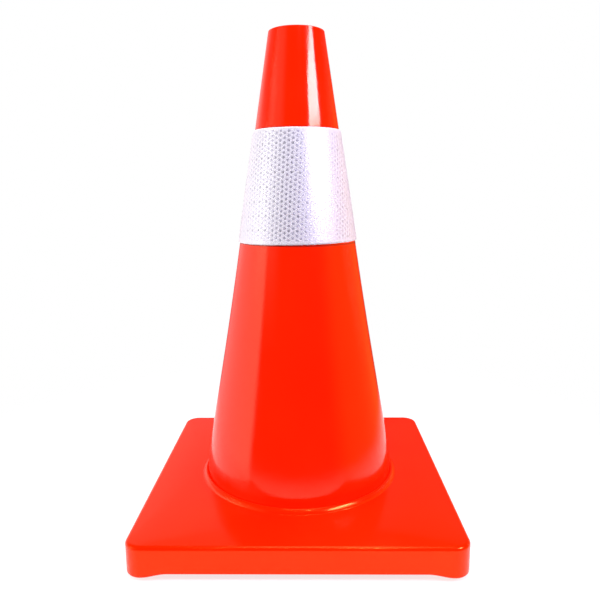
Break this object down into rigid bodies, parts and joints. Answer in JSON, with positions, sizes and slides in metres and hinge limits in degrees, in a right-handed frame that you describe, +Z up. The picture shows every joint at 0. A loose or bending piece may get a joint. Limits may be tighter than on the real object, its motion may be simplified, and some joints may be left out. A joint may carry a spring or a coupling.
{
  "type": "traffic cone",
  "caption": "Small glossy orange-red traffic cone: a hollow tapered body clipped into a square weighted base with moulded feet, and a slip-on white reflective collar with a honeycomb pattern.",
  "frame": {"origin": "centre of the base on the floor, level with the undersides of the four feet", "axes": "+Z up along the cone's centre line; X and Y square to the sides of the base; the collar's lapped ends are at +Y"},
  "size_m": [0.282, 0.282, 0.45],
  "materials": {
    "cone_pvc": "very glossy moulded PVC",
    "base_pvc": "very glossy moulded PVC",
    "collar_white": "smooth white sheet",
    "reflective_film": "clear prismatic sheet with a honeycomb of sealed cells"
  },
  "bodies": {
    "cone": {"cone_body": "cone_pvc", "base": "base_pvc"},
    "collar": {"collar_backing": "collar_white", "collar_film": "reflective_film"}
  },
  "joints": [
    {"name": "collar_lift", "type": "slide", "parent": "cone", "child": "collar", "axis": [0, 0, 1], "range_m": [0, 0.19]}
  ]
}
